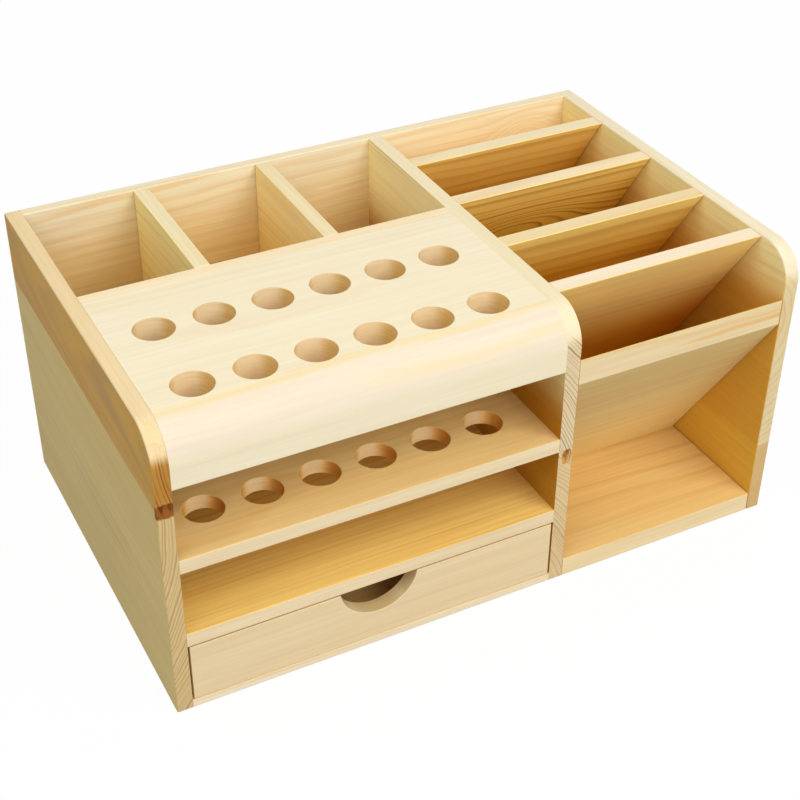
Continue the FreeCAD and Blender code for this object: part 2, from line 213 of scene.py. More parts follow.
# Wood
class NodeGraph:
    # a short way to write a material's nodes: each method adds nodes and gives back their output
    def __init__(self, owner):
        self.tree = owner.node_tree

    def put(self, socket, value):
        if isinstance(value, bpy.types.NodeSocket):
            self.tree.links.new(value, socket)
        elif socket.type == "RGBA" and len(value) == 3:
            socket.default_value = (*value, 1)
        else:
            socket.default_value = value

    def add(self, kind, inputs=(), output=0, **settings):
        node = self.tree.nodes.new(kind)
        for key, value in settings.items():
            setattr(node, key, value)
        for key, value in inputs:
            self.put(node.inputs[key], value)
        return node.outputs[output]

    def math(self, operation, first, second=0.0, third=0.0):
        return self.add("ShaderNodeMath", [(0, first), (1, second), (2, third)], operation=operation)

    def times(self, first, second):
        return self.math("MULTIPLY", first, second)

    def lift(self, value, factor, base):
        # value * factor + base
        return self.math("MULTIPLY_ADD", value, factor, base)

    def vector(self, operation, first, second):
        return self.add("ShaderNodeVectorMath", [(0, first), (1, second)], operation=operation)

    def dot(self, first, second):
        return self.add("ShaderNodeVectorMath", [(0, first), (1, second)], output="Value",
                        operation="DOT_PRODUCT")

    def noise(self, place, often, detail=2.0, roughness=0.5):
        stretched = self.vector("MULTIPLY", place, often)
        return self.add("ShaderNodeTexNoise", [("Vector", stretched), ("Scale", 1.0), ("Detail", detail),
                                               ("Roughness", roughness)])

    def between(self, value, low, high, toLow=0.0, toHigh=1.0):
        # a smooth step: toLow where the value is at low, toHigh where it is at high
        return self.add("ShaderNodeMapRange", [("Value", value), ("From Min", low), ("From Max", high),
                                               ("To Min", toLow), ("To Max", toHigh)],
                        interpolation_type="SMOOTHSTEP")

    def blend(self, share, first, second):
        node = self.tree.nodes.new("ShaderNodeMix")
        node.data_type = "RGBA"
        for key, kind, value in (("Factor", "VALUE", share), ("A", "RGBA", first), ("B", "RGBA", second)):
            self.put([s for s in node.inputs if s.name == key and s.type == kind][0], value)
        return [s for s in node.outputs if s.type == "RGBA"][0]

    def tinted(self, colour, share, tint):
        # the colour times the tint, as far as the share goes
        return self.vector("MULTIPLY", colour, self.blend(share, (1, 1, 1), tint))


# What every board shares unless its own dictionary says otherwise. Lengths are metres, colours linear.
# Across and through are the two ways square to the fibres: y and z where they run along x, x and z
# along y, x and y along z.
# Each board's own colours are set for the light its seen faces get, so boards in shade have darker, richer
# colours: painted shade.
pine = {
    "grain": "x",                    # the way the fibres run
    "seed": 0.0,
    "pith": (0.0, -0.05),            # middle of the tree, from the board's middle: across, through
    "pitch": 0.0032,                 # between year rings
    "taper": 0.04,                   # rings widen along the trunk
    "wobble": 0.0022,                # how far rings wander
    "lines": 0.55,                   # strength of the late wood lines
    "wide": 0.30,                    # where in a ring its late wood begins: less is a wider line
    "sharp": 0.93,                   # where in a ring its late wood stops: nearer 1 is a harder line
    "clear": 0.5,                    # how much of the board is nearly plain
    "fibre": 0.10,                   # fine streaks
    "warmth": 0.35,                  # how much of the broad warm clouding
    "roughness": 0.53,
    "early": (0.92, 0.68, 0.34),     # pale early wood
    "late": (0.74, 0.38, 0.09),      # orange late wood
    "heart": (0.88, 0.56, 0.20),     # the clouding
    "endTint": (0.93, 0.86, 0.74),   # end grain drinks the finish; where a board's colours are painted shade, a tint above 1 gives its end grain the lit colour
    "endLate": None,                 # the late wood's colour there, where it differs
    "endLines": 0.85,                # rings on the end grain
    "endFrom": 0.45,                 # how far a surface has to turn toward the fibres' way for that
    "paintedLightWay": (0, 0, 1),            # painted light: surfaces that face this way take a colour set for how lit they are
    "edgeColour": (0.93, 0.80, 0.54),
    "edgeShare": 0.0,
    "paintedLightFrom": (0.75, 0.98),        # how far a surface has to face that way, for none and all of it
    "edgeLines": 0.30,               # how much of the rings those painted surfaces keep
    "paintedNoseShade": None,                # painted shade that tones down the highlight on a rounded front edge, where it faces halfway up
    "paintedShadeByHeight": None,                 # (from height, to height, tint): painted shade that grows lower down; a tint above 1 paints bounce light instead
    "outside": None,                 # (way, tint): the outer face, without the painted shade by height and times the tint, so that it has its own colour apart from the inner faces' painted shade
    "boredBehind": None,             # bored walls, behind this place across, show raw wood; the tints below are partly its colour and partly painted light in the holes
    "boredSide": (1.10, 1.00, 0.84),
    "boredEnd": (0.86, 0.62, 0.36),
    "boredMarks": ((0.88, 0.84, 0.78), (1.10, 1.12, 1.16)),
    "streakColour": (0.80, 0.50, 0.20),
    "streakWave": 1.5,               # how far they wander
    "streaks": (),                   # (across or through, place, half width, strength, from, to, slope)
    "swirls": (),                    # (place in the stand, half lengths, push): rings bend round a place
    "knots": (),                     # (place in the stand, half lengths, dark colour, light colour)
}
# How often each pattern repeats in a metre: along, across and through the board
repeats = {
    "slowWander": (7.0, 22.0, 22.0),
    "quickWander": (28.0, 120.0, 120.0),
    "patches": (5.0, 26.0, 26.0),
    "clouds": (6.0, 30.0, 30.0),
    "fineThreads": (22.0, 1100.0, 1100.0),
    "broadThreads": (9.0, 330.0, 330.0),
    "borerMarks": (60.0, 60.0, 2600.0),
    "knotEdge": (420.0, 420.0, 420.0),      # this one and the next in x, y and z
    "knotStripes": (480.0, 200.0, 130.0),
}
seedShift = (1.7, 0.9, 1.3)          # metres for each whole seed
halfwayUp = (0, -0.707, 0.707)
# How far a surface has to face a way, for none and all of an effect
turns = {"outside": (0.5, 0.9), "roll": (0.74, 0.94), "boredWall": (0.9, 0.4)}
# What all of the pine has in common
growth = {
    "drifts": (6.0, 0.7),            # how many wobbles the broad and the quick wander span
    "uneven": (0.37, 1.8),           # ring widths vary this often in a ring, by this many rings
    "ridge": 0.03,                   # the part of a ring in which its late wood is full
    "ringCurve": 1.6,                # above 1, late wood rises more slowly
    "faintest": 0.35,                # the weakest ring's share of the strongest
    "patchEdge": (-0.16, 0.14),      # from "clear", where rings begin to show and where they are full
    "cloudEdge": (0.35, 0.75),
    "streakFade": 0.02,              # half of the length over which a streak begins or ends
    "broadThreads": 1.3,             # their strength beside the fine ones
    "endThreads": 0.4,               # what is left of threads on the end grain
    "toneCurves": (0.7, 1.6),        # how red and blue follow a thread's level
}
knotShape = {
    "ragged": 1.1,                   # how much its edge wanders
    "edge": (1.60, 0.95),            # from none of the knot to all of it
    "cover": 0.96,
    "stripes": (0.36, 0.62),
}
finish = {
    "index": 1.46,
    "specular": 0.10,
    "threadRough": 0.12,             # what a thread adds to the roughness
    "lateRough": -0.10,              # late wood is smoother
    "bump": 0.22,
    "bumpHeight": 0.12 * mm,
    "lateHeight": 0.5,               # late wood stands up half as much as a thread
}


def boardPlaces(graph, node, look):
    # the place in the stand, and counted from the board's middle, as along, across and through
    low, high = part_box(node)
    place = graph.add("ShaderNodeTexCoord", output="Object")
    centred = graph.vector("SUBTRACT", place, tuple((Vector(low) + Vector(high)) / 2))
    split = graph.tree.nodes.new("ShaderNodeSeparateXYZ")
    graph.put(split.inputs[0], centred)
    order = {"x": (0, 1, 2), "y": (1, 0, 2), "z": (2, 0, 1)}[look["grain"]]
    along, across, through = (split.outputs[number] for number in order)
    local = graph.add("ShaderNodeCombineXYZ", [(0, along), (1, across), (2, through)])
    shifted = graph.vector("ADD", local, tuple(look["seed"] * shift for shift in seedShift))
    return {"place": place, "along": along, "across": across, "through": through,
            "local": local, "shifted": shifted}


def ringWander(graph, look, spots):
    # a broad drift and a small quick one, both round nought
    slow = graph.math("SUBTRACT", graph.noise(spots["shifted"], repeats["slowWander"]), 0.5)
    quick = graph.math("SUBTRACT", graph.noise(spots["shifted"], repeats["quickWander"]), 0.5)
    slowSpan, quickSpan = growth["drifts"]
    return graph.lift(slow, look["wobble"] * slowSpan, graph.times(quick, look["wobble"] * quickSpan))


def lateWoodLines(graph, look, spots, wander, endGrain):
    # radius = distance from the pith + along * taper + wander, bent by swirls; its part in each
    # ring rises slowly through the late wood and drops at the ring's end
    across = graph.add("ShaderNodeCombineXYZ", [(1, spots["across"]), (2, spots["through"])])
    fromPith = graph.vector("SUBTRACT", across, (0.0, *look["pith"]))
    reach = graph.add("ShaderNodeVectorMath", [(0, fromPith)], output="Value", operation="LENGTH")
    radius = graph.math("ADD", graph.lift(spots["along"], look["taper"], reach), wander)
    for spot, halves, push in look["swirls"]:
        # a swirl pushes the rings out by push * e^-(distance / half length)^2
        gap = graph.vector("DIVIDE", graph.vector("SUBTRACT", spots["place"], spot), halves)
        near = graph.math("EXPONENT", graph.times(graph.dot(gap, gap), -1.0))
        radius = graph.lift(near, push, radius)
    ringNumber = graph.math("DIVIDE", radius, look["pitch"])
    often, span = growth["uneven"]
    uneven = graph.add("ShaderNodeTexNoise", [("W", graph.times(ringNumber, often)), ("Scale", 1.0),
                                              ("Detail", 1.0)], noise_dimensions="1D")
    ringPlace = graph.math("ADD", ringNumber, graph.times(uneven, span))
    phase = graph.math("FRACT", ringPlace)
    rise = graph.between(phase, look["wide"], look["sharp"] - growth["ridge"])
    fall = graph.between(phase, look["sharp"], 1.0, 1.0, 0.0)
    lateWood = graph.times(graph.math("POWER", rise, growth["ringCurve"]), fall)
    eachRing = graph.add("ShaderNodeTexWhiteNoise", [("W", graph.math("FLOOR", ringPlace))],
                         noise_dimensions="1D")
    ringStrength = graph.lift(eachRing, 1 - growth["faintest"], growth["faintest"])
    patches = graph.noise(spots["shifted"], repeats["patches"], 1.0)
    bold = graph.between(patches, *(look["clear"] + edge for edge in growth["patchEdge"]))
    share = graph.times(graph.times(lateWood, ringStrength), look["lines"])
    return graph.times(share, graph.math("MAXIMUM", bold, graph.times(endGrain, look["endLines"])))


def earlyWood(graph, look, spots, facing, endGrain):
    # pale wood with warm clouds, then painted shade by height, the outer face's own colour, and painted shade
    # on a rounded front edge
    clouds = graph.noise(spots["shifted"], repeats["clouds"], 3.0, 0.6)
    cloudShare = graph.times(graph.between(clouds, *growth["cloudEdge"]), look["warmth"])
    plain = colour = graph.blend(cloudShare, look["early"], look["heart"])
    if look["paintedShadeByHeight"]:
        # painted shade that grows lower down; the end grain keeps none of it
        top, bottom, tint = look["paintedShadeByHeight"]
        height = graph.add("ShaderNodeSeparateXYZ", [(0, spots["place"])], output=2)
        lower = graph.times(graph.between(height, top, bottom), graph.math("SUBTRACT", 1.0, endGrain))
        colour = graph.tinted(colour, lower, tint)
    if look["outside"]:
        # the outer face takes the colour without painted shade by height, times its tint
        way, tint = look["outside"]
        outer = graph.between(graph.dot(facing, way), *turns["outside"])
        colour = graph.blend(outer, colour, graph.vector("MULTIPLY", plain, tint))
    if look["paintedNoseShade"]:
        # painted shade over the highlight where the rounded edge faces halfway up
        noseShadeShare = graph.between(graph.dot(facing, halfwayUp), *turns["roll"])
        colour = graph.tinted(colour, noseShadeShare, look["paintedNoseShade"])
    return colour


def addStreaks(graph, look, spots, wander, colour):
    # a streak is a soft band round side + along * slope + wander = its place
    fade = growth["streakFade"]
    for axis, centre, halfWidth, strength, first, last, slope in look["streaks"]:
        side = graph.lift(wander, look["streakWave"], graph.lift(spots["along"], slope, spots[axis]))
        gap = graph.math("ABSOLUTE", graph.math("SUBTRACT", side, centre))
        streak = graph.times(graph.between(gap, halfWidth, 0.0), strength)
        window = graph.times(graph.between(spots["along"], first - fade, first + fade),
                             graph.between(spots["along"], last + fade, last - fade))
        colour = graph.blend(graph.times(streak, window), colour, look["streakColour"])
    return colour


def fibreThreads(graph, spots, endGrain):
    # fine streaks round nought, fainter on the end grain
    fine = graph.noise(spots["shifted"], repeats["fineThreads"], 2.0, 0.6)
    broad = graph.noise(spots["shifted"], repeats["broadThreads"], 2.0, 0.55)
    threads = graph.math("ADD", graph.math("SUBTRACT", fine, 0.5),
                         graph.times(graph.math("SUBTRACT", broad, 0.5), growth["broadThreads"]))
    return graph.times(threads, graph.lift(endGrain, growth["endThreads"] - 1, 1.0))


def boredWalls(graph, look, spots, facing, endGrain, colour):
    # the borer leaves raw walls with fine rings round them; their paler tint is partly the raw wood's colour
    # and partly painted light in the holes
    upright = graph.between(graph.math("ABSOLUTE", graph.dot(facing, (0, 0, 1))), *turns["boredWall"])
    behind = graph.between(spots["across"], look["boredBehind"], look["boredBehind"] + 1 * mm)
    marks = graph.noise(spots["local"], repeats["borerMarks"], 1.0)
    raw = graph.blend(endGrain, look["boredSide"], look["boredEnd"])
    raw = graph.vector("MULTIPLY", raw, graph.blend(marks, *look["boredMarks"]))
    return graph.tinted(colour, graph.times(upright, behind), raw)


def addKnots(graph, look, place, colour):
    # a knot is a ragged box: 1 is its edge in (gap / half length) to the fourth power, summed
    for spot, halves, dark, light in look["knots"]:
        gap = graph.vector("DIVIDE", graph.vector("SUBTRACT", place, spot), halves)
        squared = graph.vector("MULTIPLY", gap, gap)
        away = graph.dot(squared, squared)
        frays = graph.times(graph.noise(place, repeats["knotEdge"]), knotShape["ragged"])
        stripes = graph.between(graph.noise(place, repeats["knotStripes"]), *knotShape["stripes"])
        share = graph.between(graph.math("ADD", away, frays), *knotShape["edge"], 0.0, knotShape["cover"])
        colour = graph.blend(share, colour, graph.blend(stripes, dark, light))
    return colour


def pineWood(node, changes):
    # Solid wood: the year rings are cylinders round the pith, so faces, edges and bored holes
    # all show the same rings, long on the faces and as arcs on the end grain.
    look = {**pine, **changes}
    material = bpy.data.materials.new(node + "_pine")
    material.use_nodes = True
    graph = NodeGraph(material)
    spots = boardPlaces(graph, node, look)
    wander = ringWander(graph, look, spots)
    facing = graph.add("ShaderNodeNewGeometry", output="Normal")
    lengthways = tuple(int(axis == look["grain"]) for axis in "xyz")
    toEnd = graph.math("ABSOLUTE", graph.dot(facing, lengthways))
    endGrain = graph.between(toEnd, look["endFrom"], min(look["endFrom"] + 0.5, 0.99))
    lineShare = lateWoodLines(graph, look, spots, wander, endGrain)

    # early wood, painted light on the surfaces that face one way, then late wood over both
    endShade = graph.blend(endGrain, (1, 1, 1), look["endTint"])
    colour = graph.vector("MULTIPLY", earlyWood(graph, look, spots, facing, endGrain), endShade)
    if look["edgeShare"]:
        # painted light: surfaces facing the given way take a colour set for how lit they are
        paintedLit = graph.between(graph.dot(facing, look["paintedLightWay"]), *look["paintedLightFrom"])
        colour = graph.blend(graph.times(paintedLit, look["edgeShare"]), colour, look["edgeColour"])
        lineShare = graph.times(lineShare, graph.lift(paintedLit, look["edgeLines"] - 1, 1.0))
    lateWood = graph.blend(endGrain, look["late"], look["endLate"] or look["late"])
    colour = graph.blend(lineShare, colour, graph.vector("MULTIPLY", endShade, lateWood))
    colour = addStreaks(graph, look, spots, wander, colour)

    # threads are a change of level: red follows it least and blue most
    threads = fibreThreads(graph, spots, endGrain)
    level = graph.lift(threads, look["fibre"] * 2, 1.0)
    red, blue = (graph.math("POWER", level, curve) for curve in growth["toneCurves"])
    tone = graph.add("ShaderNodeCombineXYZ", [(0, red), (1, level), (2, blue)])
    colour = graph.vector("MULTIPLY", colour, tone)
    if look["boredBehind"] is not None:
        colour = boredWalls(graph, look, spots, facing, endGrain, colour)
    colour = addKnots(graph, look, spots["place"], colour)

    # satin finish: late wood is smoother, and both late wood and threads stand up a little
    rough = graph.lift(threads, finish["threadRough"],
                       graph.lift(lineShare, finish["lateRough"], look["roughness"]))
    height = graph.lift(lineShare, finish["lateHeight"], threads)
    bump = graph.add("ShaderNodeBump", [("Strength", finish["bump"]), ("Distance", finish["bumpHeight"]),
                                        ("Height", height)])
    shader = graph.tree.nodes["Principled BSDF"]
    for key, value in (("Base Color", colour), ("Roughness", rough), ("Normal", bump),
                       ("IOR", finish["index"]), ("Specular IOR Level", finish["specular"])):
        graph.put(shader.inputs[key], value)
    return material


# The object's own pieces
crisp = 0.10 * mm      # an edge that butts against another board
seam = 0.35 * mm       # the lightly eased edges of a glue-up
tipSoft = 0.40 * mm    # the tips and face edges of a slanted board
joint = 0.45 * mm      # the hairline that shows where a board's end meets another board
soft = 0.50 * mm       # a sanded edge
worn = 0.90 * mm       # an outer edge that hands rub
noseRadius = 19.5 * mm
heelRadius = 3.0 * mm  # the outer panels' and the back panel's upper back corner


def panelBoard(node, settings):
    # a board of an upright panel: its outline, in the panel's plane, is carried through its thickness
    low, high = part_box(node)
    bottom, front, back = settings["bottom"], settings["frontTop"], settings["backTop"]
    footSoft, backSoft, headSoft, frontSoft = settings["sides"]
    corners = [(low[1], low[2], bottom, footSoft), (high[1], low[2], bottom, backSoft),
               (high[1], high[2], back, headSoft), (low[1], high[2], front, frontSoft)]
    return sweepBoard(polygonOutline(corners), "yzx", low[0], high[0], *settings["faces"])


def beam(node, radii, plane, edge=crisp, short=0.0):
    # a plain board read from its node's box: radii are its outline's four corners
    low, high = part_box(node)
    a, b, c = ("xyz".index(axis) for axis in plane)
    corners = [(low[a], low[b], radii[0], edge), (high[a], low[b], radii[1], edge),
               (high[a], high[b], radii[2], edge), (low[a], high[b], radii[3], edge)]
    return sweepBoard(polygonOutline(corners), plane, low[c], high[c] - short)


print("stage: upright panels")
# a knot on the front edge of two boards of a panel: place, half lengths, dark colour, light colour
leftKnot = ((-0.1765, -0.1150, 0.1284), (0.0056, 0.0022, 0.0046), (0.10, 0.025, 0.003),
            (0.30, 0.09, 0.010))
middleKnot = ((0.0410, -0.1150, 0.0846), (0.0030, 0.0012, 0.0050), (0.24, 0.08, 0.010),
              (0.66, 0.34, 0.09))
# In "shape", sides are the face edges' radii along the foot, back, head and front, and faces tell
# how much of them the left and the right face have.
upright = {
    "left_panel_upper": {
        "shape": {"bottom": crisp, "frontTop": noseRadius, "backTop": heelRadius,
                  "sides": (seam, worn, worn, worn), "faces": (1.0, 0.3)},
        "wood": {
            "grain": "y", "seed": 1.0, "pith": (0.12, 0.01), "pitch": 0.0019, "taper": 0.022,
            "wobble": 0.0006, "lines": 1.0, "wide": 0.12, "sharp": 0.82, "clear": 0.56, "warmth": 0.75,
            # painted shade: dark, rich colours for an outer face that stands in shade
            "early": (0.586, 0.33, 0.048), "late": (0.4, 0.2, 0.025), "heart": (0.48, 0.233, 0.023),
            "endTint": (0.88, 0.814, 1.216), "endLate": (0.3, 0.08, 0.006), "endLines": 1.0,
            "endFrom": 0.86,
            "edgeColour": (0.8, 0.63, 0.36), "edgeShare": 0.92, "paintedLightFrom": (0.1, 0.45), "edgeLines": 0.12,
            "knots": [leftKnot]}},
    "left_panel_lower": {
        "shape": {"bottom": soft, "frontTop": crisp, "backTop": crisp,
                  "sides": (soft, worn, seam, worn), "faces": (1.0, 0.3)},
        "wood": {
            "grain": "y", "seed": 2.0, "pith": (-0.15, 0.06), "pitch": 0.0019, "taper": 0.012,
            "wobble": 0.0012, "lines": 0.6, "clear": 0.6, "warmth": 0.5,
            # painted shade: darker, richer colours for an outer face that stands in shade
            "early": (0.66, 0.5, 0.185), "late": (0.39, 0.23, 0.07), "heart": (0.56, 0.41, 0.125),
            "endTint": (1.0, 0.99, 1.28), "endLate": (0.4, 0.2, 0.06), "endLines": 1.4, "knots": [leftKnot]}},
    "middle_panel_upper": {
        "shape": {"bottom": crisp, "frontTop": noseRadius, "backTop": crisp,
                  "sides": (crisp, crisp, crisp, soft), "faces": (0.3, 1.0)},
        "wood": {
            "grain": "y", "seed": 3.0, "pith": (-0.14, -0.098), "pitch": 0.0018, "taper": 0.01,
            "wobble": 0.0008, "lines": 1.0, "wide": 0.55, "clear": 0.66, "fibre": 0.08,
            "early": (0.98, 0.85, 0.43), "late": (0.3, 0.19, 0.09), "heart": (0.95, 0.75, 0.32),
            "endTint": (0.74, 0.68, 0.82), "endLines": 0.9, "endFrom": 0.8,
            "edgeColour": (0.8, 0.69, 0.46), "edgeShare": 0.95, "paintedLightFrom": (0.1, 0.45), "edgeLines": 0.1,
            "paintedShadeByHeight": (0.148, 0.105, (0.52, 0.25, 0.03)), "knots": [middleKnot]}},
    "middle_panel_lower": {
        "shape": {"bottom": soft, "frontTop": crisp, "backTop": crisp,
                  "sides": (soft, crisp, crisp, soft), "faces": (0.3, 1.0)},
        "wood": {
            "grain": "y", "seed": 4.0, "pith": (-0.12, -0.085), "pitch": 0.0019, "taper": 0.01,
            "wobble": 0.001, "lines": 0.75, "clear": 0.62,
            # painted shade: very dark, rich colours for the bay wall in the shade between the shelves; the
            # end tint gives its front edge the lit colour back
            "early": (0.54, 0.25, 0.02), "late": (0.32, 0.2, 0.09), "heart": (0.49, 0.21, 0.015),
            "endTint": (1.355, 2.2, 14.5), "endLate": (0.31, 0.125, 0.0105), "endLines": 0.8,
            "knots": [middleKnot]}},
    "right_panel_upper": {
        "shape": {"bottom": crisp, "frontTop": noseRadius, "backTop": heelRadius,
                  "sides": (seam, worn, worn, worn), "faces": (1.0, 1.0)},
        "wood": {
            "grain": "y", "seed": 5.0, "pith": (-0.035, 0.02), "pitch": 0.0045, "taper": 0.05,
            "lines": 0.35, "clear": 0.55, "warmth": 0.5,
            "early": (0.98, 0.86, 0.43), "late": (0.7, 0.38, 0.08), "heart": (0.95, 0.74, 0.32),
            "endTint": (0.75, 0.71, 0.82),
            "edgeColour": (0.8, 0.7, 0.49), "edgeShare": 0.95, "paintedLightFrom": (0.1, 0.45), "edgeLines": 0.15,
            "paintedShadeByHeight": (0.168, 0.125, (0.74, 0.46, 0.13)), "outside": ((1, 0, 0), (0.88, 0.83, 0.8))}},
    "right_panel_lower": {
        "shape": {"bottom": soft, "frontTop": crisp, "backTop": crisp,
                  "sides": (soft, worn, seam, worn), "faces": (1.0, 1.0)},
        "wood": {
            "grain": "y", "seed": 6.0, "pith": (0.03, 0.015), "pitch": 0.004, "taper": 0.03,
            "lines": 0.4, "clear": 0.6, "warmth": 0.5,
            # painted shade: dark, rich colours for the inner face in the bay's shade; the end tint and the
            # outer face's tint give the front edge and outer face their lit colour back
            "early": (0.77, 0.46, 0.065), "heart": (0.72, 0.39, 0.045), "endTint": (0.86, 0.98, 2.9),
            "outside": ((1, 0, 0), (1.08, 1.5, 5.0))}},
}
for node, settings in upright.items():
    makePiece(node, panelBoard(node, settings["shape"]), settings["wood"])

print("stage: back, shelves and floors")
plainBoards = {
    "back_panel_upper": {
        "radii": (crisp, crisp, heelRadius, soft), "plane": "yzx",
        "wood": {
            "seed": 7.0, "pith": (-0.034, 0.06), "pitch": 0.0058, "taper": 0.03,
            "lines": 0.52, "wide": 0.15, "sharp": 0.8, "clear": 0.34, "warmth": 0.5,
            "early": (0.9, 0.81, 0.56), "late": (0.84, 0.55, 0.23), "heart": (0.9, 0.72, 0.42),
            "edgeColour": (0.81, 0.69, 0.47), "edgeShare": 0.9, "paintedShadeByHeight": (0.168, 0.115, (1.0, 0.82, 0.5)),
            "swirls": [((0.146, 0.1065, 0.15), (0.017, 0.03, 0.012), 0.024)]}},
    "lower_shelf": {
        "radii": (soft, crisp, crisp, soft), "plane": "yzx",
        "wood": {
            "seed": 8.0, "pith": (0.12, -0.03), "pitch": 0.0036, "taper": 0.015,
            "wobble": 0.0012, "lines": 0.45, "clear": 0.45, "warmth": 0.5,
            "early": (0.92, 0.62, 0.175), "late": (0.6, 0.29, 0.04), "heart": (0.86, 0.52, 0.11),
            "paintedLightWay": (0, -1, 0), "edgeColour": (0.8, 0.67, 0.46), "edgeShare": 0.85}},
    "drawer_bay_floor": {
        "radii": (soft, crisp, crisp, soft), "plane": "yzx",
        "wood": {
            "seed": 9.0, "pith": (0.0, -0.05), "pitch": 0.004,
            "paintedLightWay": (0, -1, 0), "edgeColour": (0.82, 0.71, 0.51), "edgeShare": 0.8}},
    "bin_floor": {
        "radii": (soft, crisp, crisp, soft), "plane": "yzx", "edge": soft, "short": joint,
        "wood": {
            "seed": 10.0, "pith": (-0.14, -0.03), "pitch": 0.012, "taper": 0.035,
            "wobble": 0.0016, "lines": 0.42, "wide": 0.55, "sharp": 0.9, "clear": 0.42, "warmth": 0.5,
            "early": (0.82, 0.57, 0.225), "late": (0.62, 0.31, 0.08), "heart": (0.78, 0.48, 0.14),
            "paintedLightWay": (0, -1, 0), "edgeColour": (0.86, 0.69, 0.41), "edgeShare": 0.9}},
    "compartment_divider_left": {
        "radii": (crisp, soft, soft, crisp), "plane": "zxy", "edge": soft, "short": joint,
        "wood": {
            "grain": "y", "seed": 11.0, "pith": (-0.03, -0.02), "pitch": 0.006, "taper": 0.1,
            "lines": 0.45, "sharp": 0.84, "clear": 0.3, "warmth": 0.4,
            "early": (1.0, 0.871, 0.377), "late": (0.88, 0.58, 0.16), "heart": (1.0, 0.772, 0.304),
            "edgeColour": (0.79, 0.67, 0.42), "edgeShare": 0.95, "paintedShadeByHeight": (0.17, 0.11, (0.98, 0.88, 0.7))}},
    "compartment_divider_right": {
        "radii": (crisp, soft, soft, crisp), "plane": "zxy", "edge": soft, "short": joint,
        "wood": {
            "grain": "y", "seed": 12.0, "pith": (-0.03, -0.09), "pitch": 0.004, "taper": 0.02,
            "wobble": 0.0012, "lines": 0.5, "clear": 0.5, "warmth": 0.4,
            "early": (0.98, 0.79, 0.38), "late": (0.76, 0.44, 0.11), "heart": (0.96, 0.67, 0.25),
            "edgeColour": (0.79, 0.66, 0.4), "edgeShare": 0.95, "paintedShadeByHeight": (0.17, 0.11, (0.92, 0.78, 0.48))}},
}
for node, settings in plainBoards.items():
    surface = beam(node, settings["radii"], settings["plane"], settings.get("edge", crisp),
                   settings.get("short", 0.0))
    makePiece(node, surface, settings["wood"])

print("stage: pen hole board and shelf")
holeBoard = {
    "cornerSteps": 3,
    "noseSteps": 28,
    "wood": {"seed": 13.0, "pith": (0.03, -0.13), "pitch": 0.0042, "taper": 0.012,
             "wobble": 0.0014, "lines": 0.4, "clear": 0.72, "fibre": 0.05, "warmth": 0.12,
             "early": (0.825, 0.735, 0.525), "late": (0.76, 0.46, 0.17), "heart": (0.8, 0.65, 0.4),
             "paintedNoseShade": (0.92, 0.9, 0.97),
             "boredBehind": -0.042, "boredSide": (1.08, 0.98, 0.84), "boredEnd": (1.02, 0.87, 0.55),
             "streakColour": (0.82, 0.6, 0.25), "streakWave": 2.0,
             "streaks": [("across", -0.0425, 0.0045, 0.45, -0.2, 0.2, 0.0),
                         ("across", -0.04, 0.0018, 0.3, -0.2, 0.2, 0.01),
                         ("across", -0.056, 0.0045, 0.32, 0.0, 0.2, 0.0),
                         ("across", 0.056, 0.0026, 0.3, -0.2, 0.0, 0.0),
                         ("across", 0.05, 0.002, 0.2, -0.2, 0.2, 0.0)]},
}
penHoles = {
    "radius": 10.5 * mm, "topRim": 0.5 * mm, "lowRim": 0.2 * mm, "facets": 64, "rimSteps": 3,
    "places": [(-147.95 + 31.2 * number) * mm for number in range(6)],
    "rows": [-83.8 * mm, -32.2 * mm],
}
low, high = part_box("hole_board")
noseCentre = (low[1] + noseRadius, high[2] - noseRadius)
few = holeBoard["cornerSteps"]
outline = np.vstack([
    bend((high[1], low[2]), (0, -1), (1, 0), crisp, crisp, crisp, few),
    bend((high[1], high[2]), (1, 0), (0, 1), crisp * 2, crisp, crisp, few),
    arcRun(noseCentre, noseRadius, math.pi / 2, math.pi, crisp, holeBoard["noseSteps"]),
    bend((low[1], low[2]), (-1, 0), (0, -1), worn, crisp, crisp, cornerSteps(worn))])
# the flat top starts at the second corner's last point, and the underside at the outline's last
topSide, lowSide = 2 * (few + 1) - 1, len(outline) - 1
board = boreHoles(sweepBoard(outline, "yzx", low[0], high[0]), penHoles, low[2], high[2], topSide, lowSide)
makePiece("hole_board", board, holeBoard["wood"])

shelfWood = {
    "seed": 15.0, "pith": (-0.04, 0.09), "pitch": 0.0065, "taper": 0.05,
    "lines": 0.35, "sharp": 0.8, "clear": 0.45, "warmth": 0.7,
    "early": (0.83, 0.59, 0.25), "late": (0.7, 0.36, 0.09), "heart": (0.84, 0.52, 0.175),
    "paintedLightWay": (0, -1, 0), "edgeColour": (0.79, 0.67, 0.45), "edgeShare": 0.85, "boredBehind": -0.045,
}
low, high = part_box("hole_shelf")
outline = polygonOutline([(low[1], low[2], soft, crisp), (high[1], low[2], crisp, crisp),
                          (high[1], high[2], crisp, crisp), (low[1], high[2], soft, crisp)])
eachCorner = len(outline) // 4      # points in each corner
topSide, lowSide = 3 * eachCorner - 1, eachCorner - 1
board = boreHoles(sweepBoard(outline, "yzx", low[0], high[0]), penHoles, low[2], high[2], topSide, lowSide)
makePiece("hole_shelf", board, shelfWood)

print("stage: slanted boards")
rack = {
    "lean": math.radians(32.5),      # from upright, the head nearer the front
    "thickness": 8.5 * mm,
}
lean = rack["lean"]
onCut = 1e-9           # metres: a corner this near a cut lies on it
crossesCut = 1e-14     # two gaps whose product is under minus this lie on either side of a cut
onSide = 1e-6          # metres: a corner this near the top or the front is a tip


def leanPith(up, out):
    # a place beside a slanted board, as across and through: up along its lean, out from its front face
    return (-math.sin(lean) * up - math.cos(lean) * out, math.cos(lean) * up - math.sin(lean) * out)


